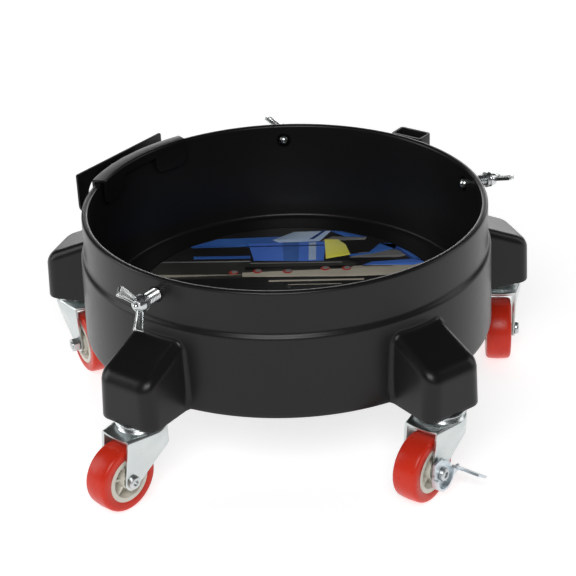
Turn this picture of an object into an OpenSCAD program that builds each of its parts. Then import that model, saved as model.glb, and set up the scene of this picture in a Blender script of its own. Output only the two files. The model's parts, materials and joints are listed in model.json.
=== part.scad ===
// Round bucket trolley: a low tub on five swivel casters, with three wing
// screws through its wall, a clip-on display stand and a printed card.
// Origin at the middle of the bucket seat, +Z up, front of the tub at -Y.

/* [Tub] */
// Outer diameter at the rim
rim_d = 304; // [300:1:320]
// Wall thickness at the rim
rim_wall = 5; // [4:0.5:6]
// Height of the tub, rim to drum bottom
tub_h = 96; // [94:1:104]
// Depth of the bucket seat below the rim
seat_depth = 81; // [80:1:84]
// Inward taper of the inner wall from rim to seat
inner_taper = 4; // [3:0.5:5]
// Depth of the upper band below the rim
band_h = 31; // [29:1:32]
// Step out from the band to the lower drum
drum_step = 2.6; // [2.2:0.2:4]
// Thickness of the floor
floor_t = 4; // [3:0.5:5]

/* [Legs] */
// Radius to the outer face of a leg
leg_reach = 196; // [194:1:202]
// Width of a leg at its foot
leg_w = 49.4; // [48:0.2:54]
// Depth of a leg's top below the rim, at the drum
leg_drop = 44; // [43:0.5:48]
// Downward slope of a leg's top in degrees
leg_slope = 23; // [18:1:27]

/* [Casters] */
// Radius to the caster stems
stem_r = 178.5; // [177:0.5:182]
// Height of a caster under the leg
caster_h = 64; // [62:1:70]
// Wheel diameter
wheel_d = 50; // [48:1:52]
// Width of the tyre
wheel_w = 19.5; // [18:0.5:20]
// Trail from the swivel axis to the axle
trail = 23; // [22:0.5:25]
// Direction in which each caster points, in degrees from the front
headings = [-43, -38, -5, 12, 28]; // [-180:1:180]

/* [Clamp screws] */
// Depth of the clamp screws below the rim
clamp_drop = 13; // [11:0.5:14]
// Diameter of the clamp screws
screw_d = 9; // [8:0.5:9.5]
// Bare length of a screw between the wall and its washers
screw_bare = 13; // [10:0.5:14]
// Turn of each wing head in degrees
wing_turns = [29, 71, 10]; // [0:1:180]

/* [Display stand] */
// Direction of the stand's middle
stand_at = -126; // [-130:1:-122]
// Sweep of the saddle over the rim in degrees
saddle_sweep = 40; // [38:1:46]
// Length of the flat outer plate, which sits a little off the middle
plate_l = 102; // [96:1:106]

/* [Card and pocket] */
// Diameter of the printed card
card_d = 239; // [220:1:240]
// Direction of the pocket on the rim
pocket_at = 144; // [140:1:148]

/* [Hidden] */
CASTERS = ["front_left", "front_right", "right", "back", "left"];
CLAMPS = ["front_left", "right", "back"];
CASTER_PARTS = ["stem", "race", "fork", "axle", "sleeve", "nut", "hub", "tyre"];
CLAMP_PARTS = ["insert", "tip", "screw", "washers"];

$fn = 96;
gap = 0.3;
far = 400;
leg_step = 72;
leg_at = [-36, 36, 108, 180, 252];
clamp_at = [-36, 108, 180];

// Heights, all measured from the bucket seat
rim_z = seat_depth;
foot_z = rim_z - tub_h;
band_z = rim_z - band_h;
leg_z = rim_z - leg_drop;
ground_z = foot_z - caster_h;
axle_z = ground_z + wheel_d / 2;
clamp_z = rim_z - clamp_drop;

// Radii of the shell
rim_r = rim_d / 2;
mouth_r = rim_r - rim_wall;
seat_r = mouth_r - inner_taper;
band_r = rim_r + 0.4;
drum_r = band_r + drum_step;
drum_foot_r = drum_r + 1.5;
leg_x = rim_r + 3;
skin = 3.6;
shoulder_z = band_z - 2;
shoulder_r = 8.4;
shoulder_turn = acos(1 - drum_step / 2 / shoulder_r);
shoulder_h = shoulder_r * sin(shoulder_turn);
seat_fillet = 3;
lip = 2.2;

// Caster stack, top to bottom
race_r = 19;
race_h = 3.4;
raceway_h = 2.3;
fork_t = 2;
fork_top = foot_z - race_h - gap - raceway_h;
fork_gap = wheel_w + 3.5;
fork_out = fork_gap / 2 + fork_t;
fork_r = 18.4;
plate_over = 1.8;
axle_d = 6;
sleeve_d = 8;
stem_d = 8;
stem_up = 26;
head_h = 3;
nut_h = 5;
hub_r = 17;
hub_w = wheel_w + 1;

// Printed card in its recess
card_recess = 1.2;
card_t = 0.8;

// Side brake
brake_t = 1.8;
brake_off = 1.3;
brake_r = 11;
BRAKE_EYE = [1.5, 0.4];

// Display stand: sheet thickness, the rim's slot in the saddle, the plate
stand_t = 2;
saddle_in = mouth_r - 1.8;
saddle_out = rim_r + 2 * gap;
stand_u = rim_r + 7.4;

// Clamp screw stations, measured out from the tub's axis
wall_in = mouth_r - inner_taper * clamp_drop / seat_depth;
tip_r = wall_in - 3;
tip_d = 8;
insert_d = screw_d + 3;
washer_at = rim_r + screw_bare;

function arc(cx, cy, r, a0, a1, n = 6) =
    [for (i = [0:n]) [cx + r * cos(a0 + (a1 - a0) * i / n),
                      cy + r * sin(a0 + (a1 - a0) * i / n)]];

// A piece drawn pointing forward (-Y) is turned to an azimuth
module at(a) {
    rotate([0, 0, a]) children();
}

// A shape drawn along +Z is laid along the outward direction (-Y)
module outward(r, z) {
    translate([0, -r, z]) rotate([90, 0, 0]) children();
}

module tube(r_out, r_in, h) {
    difference() {
        cylinder(r = r_out, h = h);
        translate([0, 0, -1]) cylinder(r = r_in, h = h + 2);
    }
}

// ---- Tub ----

module shell_profile() {
    polygon(concat(
        [[0, foot_z], [drum_foot_r, foot_z]],
        arc(drum_r - shoulder_r, shoulder_z - shoulder_h, shoulder_r, 0, shoulder_turn),
        arc(band_r + shoulder_r, shoulder_z + shoulder_h, shoulder_r,
            180 + shoulder_turn, 180),
        arc(rim_r - lip, rim_z - lip, lip, 0, 90, 5),
        arc(mouth_r + lip, rim_z - lip, lip, 90, 180, 5),
        arc(seat_r - seat_fillet, seat_fillet, seat_fillet, 0, -90, 5),
        [[0, 0]]));
}

// The lower drum is double-walled and open underneath
module drum_core() {
    core_in = seat_r + skin;
    core_out = drum_r - skin;
    difference() {
        translate([0, 0, foot_z - 1]) tube(core_out, core_in, band_z - 12 - foot_z);
        for (i = [0:9]) at(i * leg_step / 2 + 18)
            translate([-1.5, -drum_r, foot_z - 2]) cube([3, drum_r, tub_h]);
    }
}

module floor_core() {
    difference() {
        translate([0, 0, foot_z - 1]) cylinder(r = seat_r - 0.4, h = 1 - foot_z - floor_t);
        for (i = [0:9]) at(i * leg_step / 2 + 18)
            translate([-1.25, -seat_r, foot_z + 2]) cube([2.5, seat_r, tub_h]);
        translate([0, 0, foot_z + 2]) tube(62, 59.5, tub_h);
        translate([0, 0, foot_z + 2]) tube(112, 109.5, tub_h);
    }
}

// Cross-section of a leg: x is across, y runs down from the leg's top face
module leg_section(inset) {
    r = 7;
    top_w = leg_w / 2 - 2.4 - inset;
    foot_w = leg_w / 2 - inset;
    depth = leg_z - foot_z;
    polygon(concat(
        arc(top_w - r, -r - inset, r, 4, 90),
        arc(r - top_w, -r - inset, r, 90, 176),
        [[-foot_w, -depth], [-foot_w - 4, -2 * depth],
         [foot_w + 4, -2 * depth], [foot_w, -depth]]));
}

// Side view of a leg: x is outward, y is up
module leg_side(inset, start) {
    nose = 9;
    end_x = leg_reach - inset;
    slope_end = end_x - nose + nose * sin(leg_slope);
    top_z = function(x) leg_z - inset - (x - leg_x) * tan(leg_slope);
    polygon(concat(
        [[start, foot_z - 1], [start, top_z(start)]],
        arc(end_x - nose, top_z(slope_end) - nose * cos(leg_slope), nose,
            90 - leg_slope, 0),
        [[end_x, foot_z - 1]]));
}

// Plan view of a leg: x is across, y is outward
module leg_plan(inset, start) {
    r = 12 - inset;
    w = leg_w / 2 - inset;
    end_y = leg_reach - inset;
    polygon(concat(
        [[-w, start], [w, start]],
        arc(w - r, end_y - r, r, 0, 90),
        arc(r - w, end_y - r, r, 90, 180)));
}

module leg_form(inset, start) {
    intersection() {
        translate([0, -leg_x, leg_z]) rotate([90 + leg_slope, 0, 0])
            translate([0, 0, -far / 2]) linear_extrude(far) leg_section(inset - 0.6);
        rotate([90, 0, -90]) translate([0, 0, -far / 2])
            linear_extrude(far) leg_side(inset, start);
        translate([0, 0, foot_z]) mirror([0, 1, 0])
            linear_extrude(tub_h) leg_plan(inset, start);
    }
}

// Concave corners where a leg meets the drum
module leg_fillets() {
    r = 4;
    reach = drum_foot_r + r;
    depth = leg_z - 8 - foot_z;
    for (s = [-1, 1]) scale([s, 1, 1])
        translate([leg_w / 2 - 1, r + 2 - reach, foot_z]) linear_extrude(depth)
            difference() {
                translate([-1, -r]) square([r + 1, r + 4]);
                translate([r, -r]) circle(r);
            }
}

module leg(i) {
    boss_r = 13;
    color("#2f2f30") at(leg_at[i]) difference() {
        union() {
            leg_form(0, rim_r - 3);
            leg_fillets();
        }
        difference() {
            translate([0, 0, -0.01]) leg_form(skin, rim_r - 3);
            translate([0, -stem_r, foot_z - 1]) cylinder(r = boss_r, h = tub_h);
            translate([-1.5, -far, foot_z + 3]) cube([3, far, tub_h]);
            translate([-far / 2, -stem_r - 1.5, foot_z + 3]) cube([far, 3, tub_h]);
        }
        translate([0, -stem_r, foot_z - 1]) cylinder(d = stem_d, h = stem_up + 1.5);
        drum_solid();
    }
}

// Open-topped pocket on the back of the rim
module display_pocket() {
    w = 28;
    wall = 2;
    depth = 31;
    out = 15.6;
    band_low = shoulder_z + shoulder_h;
    color("#2f2f30") difference() {
        at(pocket_at) translate([1 - w, -rim_r - out, rim_z - depth]) difference() {
            cube([w, out + 4, depth]);
            translate([wall, wall, wall]) cube([w - 2 * wall, out - wall - 1, depth]);
        }
        translate([0, 0, band_low])
            cylinder(r1 = band_r, r2 = rim_r, h = rim_z - lip - band_low, $fn = 180);
        translate([0, 0, rim_z - lip - 0.01]) cylinder(r = rim_r, h = far, $fn = 180);
    }
}

module drum_solid() {
    rotate_extrude($fn = 180) shell_profile();
}

module tub() {
    color("#2f2f30") difference() {
        drum_solid();
        drum_core();
        floor_core();
        translate([0, 0, -card_recess]) cylinder(d = card_d + 0.8, h = 5, $fn = 180);
        for (a = clamp_at) at(a) outward(wall_in - 6, clamp_z)
            cylinder(d = insert_d, h = 20);
    }
}

module display_card() {
    color("#2c5fb4") translate([0, 0, gap - card_recess])
        cylinder(d = card_d, h = card_t, $fn = 180);
}

// ---- Display stand ----

module saddle_profile(depth) {
    translate([saddle_in - stand_t, rim_z - depth]) square([stand_t, depth + gap]);
    translate([saddle_in - stand_t, rim_z + gap])
        square([saddle_out - saddle_in + 2 * stand_t, stand_t]);
    translate([saddle_out, rim_z - 15]) square([stand_t, 15 + gap + stand_t]);
}

// Clears the inner skirt below its shallow edge over part of the sweep
module skirt_cut(from, sweep, deep, shallow) {
    at(from - 90) rotate_extrude(angle = sweep, $fn = 180)
        translate([saddle_in - stand_t - 1, rim_z - deep - 1])
        square([stand_t + 2, deep + 1 - shallow]);
}

module stand_plate(h) {
    corner = 8;
    arch = 12;
    difference() {
        union() {
            translate([-plate_l / 2, corner]) square([plate_l, h - corner]);
            translate([corner - plate_l / 2, 0]) square([plate_l - 2 * corner, corner + 1]);
            for (s = [-1, 1]) translate([s * (plate_l / 2 - corner), corner]) circle(corner);
        }
        for (s = [-1, 1]) translate([s * 28, 0]) {
            translate([-arch, -1]) square([2 * arch, arch + 2]);
            translate([0, arch + 1]) circle(arch);
        }
    }
}

module display_stand() {
    shallow = 6;
    deep = 20;
    tab = 12;
    plate_shift = 3;
    plate_h = 34;
    half = saddle_sweep / 2;
    color("#1b1b1c") at(stand_at) {
        difference() {
            at(-half - 90) rotate_extrude(angle = saddle_sweep, $fn = 180)
                saddle_profile(deep);
            skirt_cut(tab - half, saddle_sweep - 2 * tab, deep, shallow);
        }
        translate([plate_shift, -stand_u, rim_z + 3 - plate_h]) rotate([90, 0, 0])
            linear_extrude(stand_t) stand_plate(plate_h);
        for (x = [-15, 0, 15])
            translate([x - 1, -stand_u - 0.5, rim_z - 14]) cube([2, 6.6, 13]);
    }
}

// ---- Casters ----

module stem(i) {
    color("#c9ccd0") at(leg_at[i]) translate([0, -stem_r, 0]) {
        translate([0, 0, fork_top - fork_t - 2])
            cylinder(d = stem_d, h = foot_z + stem_up - fork_top + fork_t + 2);
        translate([0, 0, fork_top - fork_t - 2.4]) cylinder(d = 12, h = 2.2);
    }
}

// Pressed cup that the fork turns under
module race(i) {
    edge = 1.6;
    color("#d4d8dc") at(leg_at[i]) translate([0, -stem_r, foot_z - race_h])
        rotate_extrude() polygon(concat(
            [[stem_d / 2, 1.2], [9, 1.2], [10.5, 0], [race_r - edge, 0]],
            arc(race_r - edge, edge, edge, -90, 0, 5),
            arc(race_r - edge, race_h - edge, edge, 0, 90, 5),
            [[stem_d / 2, race_h]]));
}

// Local frame of a caster: swivel axis at the origin, wheel toward -Y
module caster(i) {
    at(leg_at[i]) translate([0, -stem_r, 0]) rotate([0, 0, headings[i] - leg_at[i]])
        children();
}

module fork_plan(r, w) {
    circle(r);
    translate([-w, -trail - plate_over]) square([2 * w, trail + plate_over]);
}

// Side view of a fork arm: x is forward along the trail, y is up
module fork_side() {
    eye = 6.6;
    tilt = 12;
    polygon(concat(
        [[-fork_r - 1, fork_top], [-fork_r - 1, fork_top - 7]],
        arc(-6, fork_top - 7 - 1, 12, 175, 222, 4),
        arc(trail, axle_z, eye, 215, 360 - tilt, 10),
        [[trail + plate_over, fork_top]]));
}

module fork(i) {
    color("#c3c8cc") caster(i) difference() {
        union() {
            translate([0, 0, fork_top - fork_t])
                linear_extrude(fork_t) fork_plan(fork_r, fork_out);
            translate([0, 0, fork_top - 0.1]) tube(16.2, 13.6, raceway_h + 0.1);
            intersection() {
                translate([0, 0, ground_z]) linear_extrude(fork_top - ground_z - 0.1)
                    difference() {
                        union() {
                            fork_plan(fork_r, fork_out);
                            translate([-fork_out, -trail - 12])
                                square([2 * fork_out, 20]);
                        }
                        circle(fork_r - fork_t);
                        translate([-fork_gap / 2, -trail - 20])
                            square([fork_gap, trail + 20]);
                    }
                rotate([90, 0, -90]) translate([0, 0, -far / 2])
                    linear_extrude(far) fork_side();
            }
        }
        translate([0, 0, fork_top - 10]) cylinder(d = stem_d + 0.1, h = 20);
        translate([0, -trail, axle_z]) rotate([0, 90, 0])
            cylinder(d = axle_d + 0.1, h = 60, center = true);
    }
}

module along_axle(i) {
    caster(i) translate([0, -trail, axle_z]) rotate([0, 90, 0]) children();
}

// Room between the right-hand arm and the bolt head on the braked caster
function head_at(i) = fork_out + (i == 1 ? brake_off + brake_t + gap : 0);

module axle(i) {
    color("#b9bec3") along_axle(i) {
        translate([0, 0, -fork_out - nut_h - 1])
            cylinder(d = axle_d, h = fork_out + nut_h + 1 + head_at(i));
        translate([0, 0, head_at(i)]) difference() {
            rotate_extrude() polygon(concat(
                [[0, 0], [5, 0]], arc(5 - 1.8, head_h - 1.8, 1.8, 0, 90, 5),
                [[0, head_h]]));
            translate([0, 0, 1.2]) cylinder(d = 4.4, h = head_h);
        }
    }
}

module sleeve(i) {
    color("#d9dcdf") along_axle(i)
        translate([0, 0, 0.1 - fork_gap / 2])
            tube(sleeve_d / 2, axle_d / 2 + 0.05, fork_gap - 0.2);
}

module nut(i) {
    color("#b9bec3") along_axle(i) translate([0, 0, -fork_out - nut_h]) difference() {
        cylinder(d = 11.5, h = nut_h, $fn = 6);
        translate([0, 0, -1]) cylinder(d = axle_d, h = nut_h + 2);
    }
}

// Moulded hub: rim ring, thin web with five round pockets, centre boss
module hub(i) {
    dish = 5.2;
    color("#d9d6ca") along_axle(i) difference() {
        rotate_extrude() polygon([
            [sleeve_d / 2 + 0.05, -hub_w / 2], [7, -hub_w / 2],
            [7.6, dish - hub_w / 2], [13, dish - hub_w / 2],
            [13.6, 0.5 - hub_w / 2], [hub_r, 0.5 - hub_w / 2],
            [hub_r, hub_w / 2 - 0.5], [13.6, hub_w / 2 - 0.5],
            [13, hub_w / 2 - dish], [7.6, hub_w / 2 - dish],
            [7, hub_w / 2], [sleeve_d / 2 + 0.05, hub_w / 2]]);
        for (k = [0:4]) rotate([0, 0, k * 72]) translate([10.3, 0, -far / 2])
            cylinder(d = 4.4, h = far);
    }
}

module tyre(i) {
    round_r = 2.2;
    crown = 0.5;
    side = wheel_w / 2;
    color("#c8201a") along_axle(i) rotate_extrude($fn = 120) polygon(concat(
        [[hub_r, -side]], arc(wheel_d / 2 - round_r - crown, round_r - side, round_r, -90, -15),
        [[wheel_d / 2, 0]],
        arc(wheel_d / 2 - round_r - crown, side - round_r, round_r, 15, 90),
        [[hub_r, side]]));
}

// Side brake on the front right caster. Drawn in the plane of the wheel:
// x is down, y is back, and the pedal stands out along the axle.
module brake_plan() {
    translate(BRAKE_EYE) circle(brake_r);
    polygon([[-12, 0], [-11.5, -9], [-4, -10], [4, 4]]);
    polygon([[2.5, 8], [11, 7], [8.5, 21.5], [4.5, 22.5]]);
}

module brake_lever() {
    pedal_l = 22;
    pedal_w = 13;
    pedal_tilt = 34;
    flange = 5;
    color("#c3c8cc") along_axle(1) difference() {
        translate([0, 0, fork_out + brake_off]) {
            linear_extrude(brake_t) brake_plan();
            intersection() {
                translate(BRAKE_EYE) tube(brake_r, brake_r - brake_t, flange);
                translate([0, -far / 2, 0]) cube([far, far, flange]);
            }
            translate([6, 20.5, 0]) rotate([0, 0, -pedal_tilt])
                translate([-brake_t / 2, -pedal_w / 2, 0])
                cube([brake_t, pedal_w, pedal_l]);
        }
        cylinder(d = axle_d + 0.1, h = far, center = true);
    }
}

// ---- Clamp screws ----

module on_clamp(k, r) {
    at(clamp_at[k]) outward(r, clamp_z) children();
}

module clamp_insert(k) {
    color("#c7a65a") on_clamp(k, wall_in + 0.2) difference() {
        cylinder(d = insert_d, h = band_r - wall_in - 0.8);
        translate([0, 0, -1]) cylinder(d = screw_d + 0.1, h = 12);
    }
}

// Domed pad on the screw's inner end
module clamp_tip(k) {
    r = tip_d / 2;
    color("#c3c8cc") on_clamp(k, tip_r) difference() {
        rotate_extrude() polygon(concat(
            [[0, 0]], arc(0, r, r, -80, 0), [[r, r + 1], [0, r + 1]]));
        translate([0, 0, 2.5]) cylinder(d = 4.1, h = 4);
    }
}

// Side view of one wing: x is away from the screw, y is outward along it
module wing_side() {
    len = 17.5;
    root_w = 5.2;
    tip_w = 7.4;
    tip_r = 1.4;
    translate([3, 1.2]) rotate([0, 0, 37]) {
        polygon([[-3, -1], [len - tip_r, -1], [len, tip_r - 1],
                 [len, tip_w - 1 - tip_r], [len - tip_r, tip_w - 1], [-3, root_w]]);
        for (y = [tip_r - 1, tip_w - 1 - tip_r])
            translate([len - tip_r, y]) circle(tip_r);
    }
}

module clamp_screw(k) {
    boss_h = 7;
    wing_t = 3.2;
    head = washer_at + 2.4;
    color("#c3c8cc") on_clamp(k, 0) rotate([0, 0, wing_turns[k]]) {
        translate([0, 0, tip_r + 5.2]) cylinder(d = screw_d, h = head - tip_r - 4.2);
        translate([0, 0, tip_r + 2.8]) cylinder(d = 4, h = 3);
        translate([0, 0, head]) rotate_extrude() polygon(concat(
            [[0, 0], [6, 0], [6, 1.2]], arc(2.6, boss_h - 2, 2.2, 10, 90, 5),
            [[0, boss_h + 0.2]]));
        translate([0, 0, head]) for (s = [0, 180]) rotate([0, 0, s])
            rotate([90, 0, 90]) translate([0, 0, -wing_t / 2]) linear_extrude(wing_t)
                intersection() {
                    wing_side();
                    translate([0, 0.2]) square(30);
                }
    }
}

module clamp_washers(k) {
    color("#aab0b5") on_clamp(k, washer_at) {
        tube(6.1, screw_d / 2 + 0.05, 1);
        translate([0, 0, 1.2]) tube(5.8, screw_d / 2 + 0.05, 1);
    }
}

tub();
display_pocket();
display_card();
display_stand();
brake_lever();
for (i = [0:4]) {
    leg(i);
    stem(i);
    race(i);
    fork(i);
    axle(i);
    sleeve(i);
    nut(i);
    hub(i);
    tyre(i);
}
for (k = [0:2]) {
    clamp_insert(k);
    clamp_tip(k);
    clamp_screw(k);
    clamp_washers(k);
}
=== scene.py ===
import json
import math

import bmesh
import bpy
import numpy as np
from mathutils import Matrix, Vector


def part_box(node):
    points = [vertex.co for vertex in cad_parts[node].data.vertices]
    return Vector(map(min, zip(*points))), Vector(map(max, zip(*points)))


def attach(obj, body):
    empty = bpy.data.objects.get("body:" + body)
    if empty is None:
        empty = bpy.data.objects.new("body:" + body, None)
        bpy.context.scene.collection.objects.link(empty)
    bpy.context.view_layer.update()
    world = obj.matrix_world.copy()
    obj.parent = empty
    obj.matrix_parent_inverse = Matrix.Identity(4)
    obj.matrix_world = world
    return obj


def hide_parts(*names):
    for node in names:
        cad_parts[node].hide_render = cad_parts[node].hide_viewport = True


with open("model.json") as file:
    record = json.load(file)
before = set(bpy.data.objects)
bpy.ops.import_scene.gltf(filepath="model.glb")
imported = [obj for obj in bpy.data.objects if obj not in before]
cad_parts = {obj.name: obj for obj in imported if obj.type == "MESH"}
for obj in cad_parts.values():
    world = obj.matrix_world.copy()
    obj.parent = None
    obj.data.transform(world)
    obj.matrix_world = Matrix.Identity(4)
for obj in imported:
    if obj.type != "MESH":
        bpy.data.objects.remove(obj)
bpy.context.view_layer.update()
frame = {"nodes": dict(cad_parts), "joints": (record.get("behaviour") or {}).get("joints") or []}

MM = 0.001
JOINTS = {j["name"]: j for j in frame["joints"]}

# Azimuths and turns are in degrees, measured from the front toward +X
CASTERS = ["front_left", "front_right", "right", "back", "left"]
CLAMPS = {"front_left": -36, "right": 108, "back": 180}
WING_TURNS = {"front_left": 29, "right": 71, "back": 117}
LEG_AT = [-36, 36, 108, 180, 252]

# Sizes in millimetres, taken from the frame where it holds them
FOOT_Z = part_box("tub")[0].z / MM
RIM_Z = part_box("tub")[1].z / MM
DRUM_FOOT_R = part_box("tub")[1].x / MM
DRUM_R = DRUM_FOOT_R - 1.5
BAND_R = DRUM_R - 2.6
RIM_R = BAND_R - 0.4
MOUTH_R = RIM_R - 5
SEAT_R = MOUTH_R - 4
SHOULDER_Z = RIM_Z - 33
LIP = 2.2
SKIN = 3.6
LEG_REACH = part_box("leg_back")[1].y / MM
LEG_HALF = 24.7
LEG_X = RIM_R + 3
LEG_Z = RIM_Z - 44
LEG_SLOPE = math.radians(23)
STEM_R = math.hypot(*JOINTS["swivel_back"]["pos_m"][:2]) / MM
RACE_R = (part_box("race_back")[1].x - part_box("race_back")[0].x) / 2 / MM
RACE_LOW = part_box("race_back")[0].z / MM
AXLE_Z = JOINTS["roll_back"]["pos_m"][2] / MM
GROUND_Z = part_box("tyre_back")[0].z / MM
WHEEL_R = (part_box("tyre_back")[1].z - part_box("tyre_back")[0].z) / 2 / MM
TYRE_HALF = 9.75
HUB_R = 17
FORK_OUT = 13.5
FORK_R = 18.4
FORK_TOP = RACE_LOW - 2.6
TRAIL = 23
CLAMP_Z = JOINTS["clamp_turn_back"]["pos_m"][2] / MM
CARD_R = (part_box("display_card")[1].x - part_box("display_card")[0].x) / 2 / MM
CARD_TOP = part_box("display_card")[1].z / MM
STAND_AT = -126
POCKET_AT = 144
CLAMP_DROP = RIM_Z - CLAMP_Z
SCREW_BARE = 13
WASHERS_T = 2.4


# ---- Camera ----

def make_camera():
    """A long lens from the front, looking down into the tub, a little rolled."""
    distance = 1.2432
    elevation = math.radians(27.53)
    azimuth = math.radians(0.57)
    roll = math.radians(-2.21)
    target = Vector((0.0002, 0, RIM_Z * MM - 0.0759))
    away = Vector((math.sin(azimuth) * math.cos(elevation),
                   -math.cos(azimuth) * math.cos(elevation), math.sin(elevation)))
    right = Vector((math.cos(azimuth), math.sin(azimuth), 0))
    up = away.cross(right)
    cam_right = math.cos(roll) * right + math.sin(roll) * up
    cam_up = -math.sin(roll) * right + math.cos(roll) * up
    data = bpy.data.cameras.new("camera")
    data.sensor_width = 36
    data.lens = 100.64
    data.clip_start = 0.05
    camera = bpy.data.objects.new("camera", data)
    bpy.context.scene.collection.objects.link(camera)
    turn = Matrix((cam_right, cam_up, away)).transposed()
    camera.matrix_world = Matrix.Translation(target + away * distance) @ turn.to_4x4()
    bpy.context.scene.camera = camera


make_camera()


# ---- Materials ----

def new_material(name, colour, roughness, metallic=0.0):
    """A material with a Principled shader; returns it with its nodes and links."""
    mat = bpy.data.materials.new(name)
    mat.use_nodes = True
    nodes = mat.node_tree.nodes
    shader = nodes["Principled BSDF"]
    shader.inputs["Base Color"].default_value = (*colour, 1)
    shader.inputs["Roughness"].default_value = roughness
    shader.inputs["Metallic"].default_value = metallic
    return mat, nodes, mat.node_tree.links, shader


def add_noise(nodes, links, scale, detail=4.0, stretch=(1, 1, 1)):
    """Noise in object coordinates, from 0 to 1."""
    coords = nodes.new("ShaderNodeTexCoord")
    mapping = nodes.new("ShaderNodeMapping")
    mapping.inputs["Scale"].default_value = stretch
    noise = nodes.new("ShaderNodeTexNoise")
    noise.inputs["Scale"].default_value = scale
    noise.inputs["Detail"].default_value = detail
    links.new(coords.outputs["Object"], mapping.inputs["Vector"])
    links.new(mapping.outputs["Vector"], noise.inputs["Vector"])
    return noise.outputs["Fac"]


def map_range(nodes, links, value, low, high, start=0.3, end=0.7):
    """Spreads value's range from start to end over low to high."""
    node = nodes.new("ShaderNodeMapRange")
    node.inputs["From Min"].default_value = start
    node.inputs["From Max"].default_value = end
    node.inputs["To Min"].default_value = low
    node.inputs["To Max"].default_value = high
    links.new(value, node.inputs["Value"])
    return node.outputs["Result"]


def mix_colours(nodes, links, factor, first, second):
    """Goes from the first colour to the second as factor goes from 0 to 1."""
    node = nodes.new("ShaderNodeMix")
    node.data_type = "RGBA"
    node.inputs["A"].default_value = (*first, 1)
    node.inputs["B"].default_value = (*second, 1)
    links.new(factor, node.inputs["Factor"])
    return node.outputs["Result"]


def add_bump(nodes, links, shader, height, distance, strength):
    """Lets a height pattern bend the shader's normal."""
    node = nodes.new("ShaderNodeBump")
    node.inputs["Strength"].default_value = strength
    node.inputs["Distance"].default_value = distance
    links.new(height, node.inputs["Height"])
    links.new(node.outputs["Normal"], shader.inputs["Normal"])


def plastic(name, colour, worn, roughness, grain=1400, grain_depth=0.00005):
    """Moulded plastic: fine spark-eroded grain, faint flow marks, uneven gloss."""
    mat, nodes, links, shader = new_material(name, colour, roughness)
    broad = add_noise(nodes, links, 9, 3)
    scuffs = add_noise(nodes, links, 160, 4)
    fine = add_noise(nodes, links, grain, 2)
    blend = map_range(nodes, links, broad, 0, 1)
    links.new(mix_colours(nodes, links, blend, colour, worn), shader.inputs["Base Color"])
    links.new(map_range(nodes, links, scuffs, roughness - 0.015, roughness + 0.02),
              shader.inputs["Roughness"])
    add_bump(nodes, links, shader, fine, grain_depth, 0.2)
    shader.inputs["Specular IOR Level"].default_value = 0.27
    return mat


def metal(name, colour, dark, roughness, stretch=(1, 1, 6), scale=130):
    """Plated steel: faint drawn streaks and a passivation tint."""
    mat, nodes, links, shader = new_material(name, colour, roughness, 1.0)
    streaks = add_noise(nodes, links, scale, 5, stretch)
    tint = add_noise(nodes, links, 45, 3)
    blend = map_range(nodes, links, tint, 0, 1)
    links.new(mix_colours(nodes, links, blend, colour, dark), shader.inputs["Base Color"])
    links.new(map_range(nodes, links, streaks, roughness - 0.04, roughness + 0.06),
              shader.inputs["Roughness"])
    add_bump(nodes, links, shader, streaks, 0.00002, 0.07)
    return mat


def urethane(name):
    """Glossy cast tyre: bright red, softly clouded, with an uneven gloss."""
    mat, nodes, links, shader = new_material(name, (0.66, 0.03, 0.012), 0.3)
    shader.inputs["Specular IOR Level"].default_value = 0.3
    cloud = add_noise(nodes, links, 70, 4)
    dust = add_noise(nodes, links, 420, 6)
    blend = map_range(nodes, links, cloud, 0, 1)
    links.new(mix_colours(nodes, links, blend, (0.66, 0.032, 0.012), (0.6, 0.024, 0.009)),
              shader.inputs["Base Color"])
    links.new(map_range(nodes, links, dust, 0.26, 0.36), shader.inputs["Roughness"])
    add_bump(nodes, links, shader, cloud, 0.00008, 0.15)
    return mat


def print_ink(name, colour, second, roughness=0.28):
    """Ink on coated board: slight mottle, a fine halftone tooth and a clear coat."""
    mat, nodes, links, shader = new_material(name, colour, roughness)
    mottle = add_noise(nodes, links, 26, 3)
    tooth = add_noise(nodes, links, 2600, 2)
    blend = map_range(nodes, links, mottle, 0, 1)
    links.new(mix_colours(nodes, links, blend, colour, second), shader.inputs["Base Color"])
    links.new(map_range(nodes, links, mottle, roughness, roughness + 0.1),
              shader.inputs["Roughness"])
    add_bump(nodes, links, shader, tooth, 0.00002, 0.3)
    shader.inputs["Coat Weight"].default_value = 0.3
    return mat


MAT = {
    "tub": plastic("tub_black", (0.0078, 0.0078, 0.0079), (0.0098, 0.0098, 0.0097), 0.31),
    "stand": plastic("stand_black", (0.006, 0.006, 0.0062), (0.009, 0.009, 0.009), 0.3),
    "hub": plastic("hub_cream", (0.72, 0.69, 0.61), (0.64, 0.61, 0.53), 0.36, 900),
    "tyre": urethane("tyre_red"),
    "zinc": metal("zinc_plate", (0.68, 0.71, 0.7), (0.6, 0.65, 0.65), 0.31),
    "brake": metal("brake_plate", (0.7, 0.75, 0.78), (0.62, 0.68, 0.72), 0.4),
    "race": metal("race_plate", (0.7, 0.73, 0.73), (0.6, 0.64, 0.65), 0.28, (1, 1, 12)),
    "bolt": metal("bolt_plate", (0.64, 0.66, 0.66), (0.5, 0.53, 0.55), 0.33),
    "clamp": metal("clamp_cast", (0.7, 0.72, 0.71), (0.58, 0.61, 0.62), 0.25, (1, 1, 1), 200),
    "insert": metal("insert_black", (0.02, 0.02, 0.021), (0.014, 0.014, 0.015), 0.4),
}


# ---- Mesh helpers ----

def link_mesh(name, verts, faces, mat, sharp_deg=35):
    """An object in the scene from points in metres and faces."""
    mesh = bpy.data.meshes.new(name)
    mesh.from_pydata([tuple(v) for v in verts], [], faces)
    mesh.validate()
    return link_data(name, mesh, mat, sharp_deg)


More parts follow.
